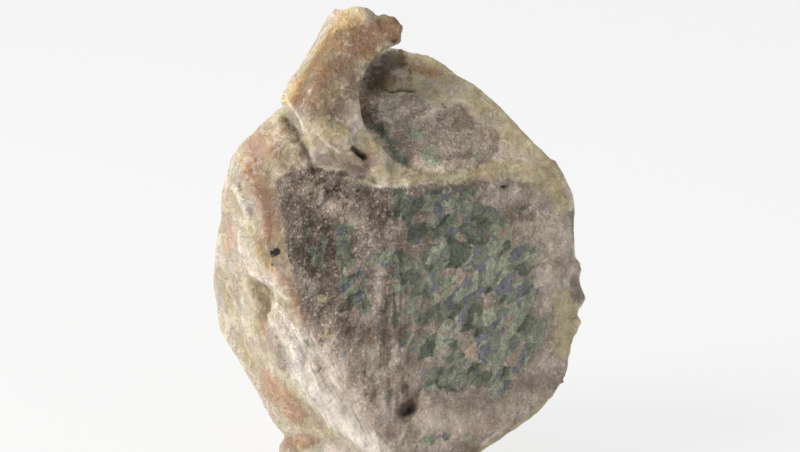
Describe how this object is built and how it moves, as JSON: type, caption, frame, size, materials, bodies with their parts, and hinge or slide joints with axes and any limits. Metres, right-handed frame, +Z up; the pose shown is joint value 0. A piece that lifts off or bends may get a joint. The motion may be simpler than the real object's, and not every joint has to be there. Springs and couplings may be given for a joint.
{
  "type": "perlite rock",
  "caption": "Broken lump of rock with a hooked horn at the top and a flat broken face, standing on a small flat foot.",
  "frame": {"origin": "on the ground below the middle of the rock's bounding box", "axes": "+Z up, along the rock's height; the broken face looks towards -Y, the rock's thinnest direction; +X to the right of that face"},
  "size_m": [0.0792, 0.0582, 0.0981],
  "materials": {
    "stone": "matt, grainy broken stone: grey-brown and green on the broken face, with a cream, olive and pink rind"
  },
  "bodies": {
    "root": {"rock": "stone"}
  },
  "joints": []
}
